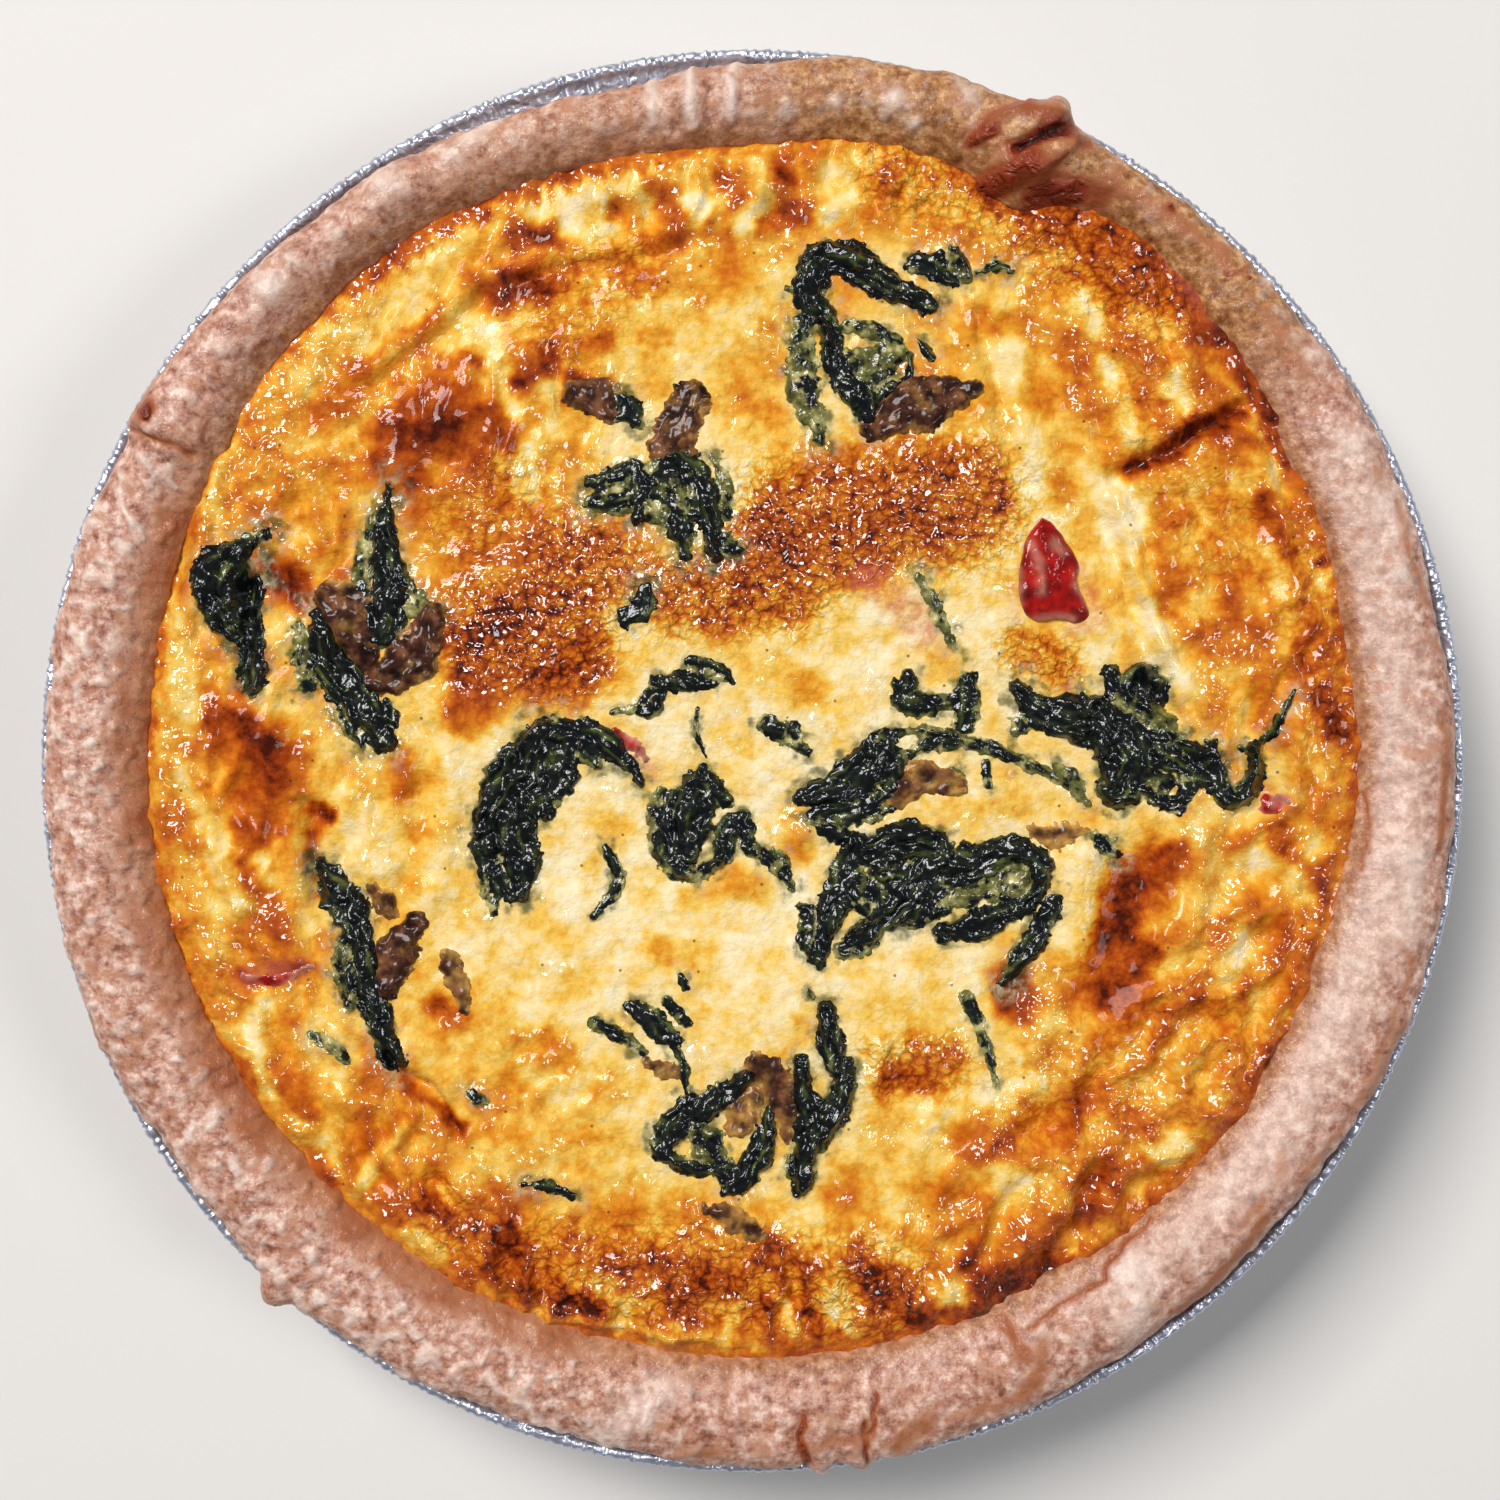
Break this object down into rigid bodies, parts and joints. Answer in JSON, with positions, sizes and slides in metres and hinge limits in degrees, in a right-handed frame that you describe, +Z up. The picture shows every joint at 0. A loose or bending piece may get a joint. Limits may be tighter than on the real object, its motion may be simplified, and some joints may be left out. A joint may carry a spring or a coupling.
{
  "type": "quiche in foil tin",
  "caption": "Whole baked quiche with a rolled pastry rim and a browned egg filling holding spinach, mushroom and red pepper, standing in its shallow round foil pie tin.",
  "frame": {"origin": "centre of the tin's flat base, where it stands", "axes": "+Z up, +X to the right and +Y to the back as the quiche is looked down on"},
  "size_m": [0.225, 0.225, 0.0381],
  "materials": {
    "foil": "crimped thin foil, satin",
    "pastry": "baked shortcrust pastry, matte",
    "filling": "browned baked egg, moist gloss",
    "spinach": "wilted leaf, wet gloss",
    "mushroom": "cooked mushroom, wet gloss",
    "pepper": "cooked pepper, wet gloss"
  },
  "bodies": {
    "root": {"foil_tin": "foil", "pastry_case": "pastry", "egg_filling": "filling", "spinach_back": "spinach", "spinach_back_small": "spinach", "spinach_upper": "spinach", "spinach_left_curl": "spinach", "spinach_left_rib": "spinach", "spinach_left_blade": "spinach", "spinach_left_fold": "spinach", "spinach_middle_strip": "spinach", "spinach_middle_arc": "spinach", "spinach_middle": "spinach", "spinach_right_small": "spinach", "spinach_right": "spinach", "spinach_stalk": "spinach", "spinach_front_right": "spinach", "spinach_front_tip": "spinach", "spinach_front": "spinach", "spinach_front_blades": "spinach", "spinach_left_front": "spinach", "mushroom_back": "mushroom", "mushroom_upper": "mushroom", "mushroom_left": "mushroom", "mushroom_left_low": "mushroom", "mushroom_middle": "mushroom", "mushroom_front": "mushroom", "mushroom_left_front": "mushroom", "pepper_large": "pepper"}
  },
  "joints": []
}
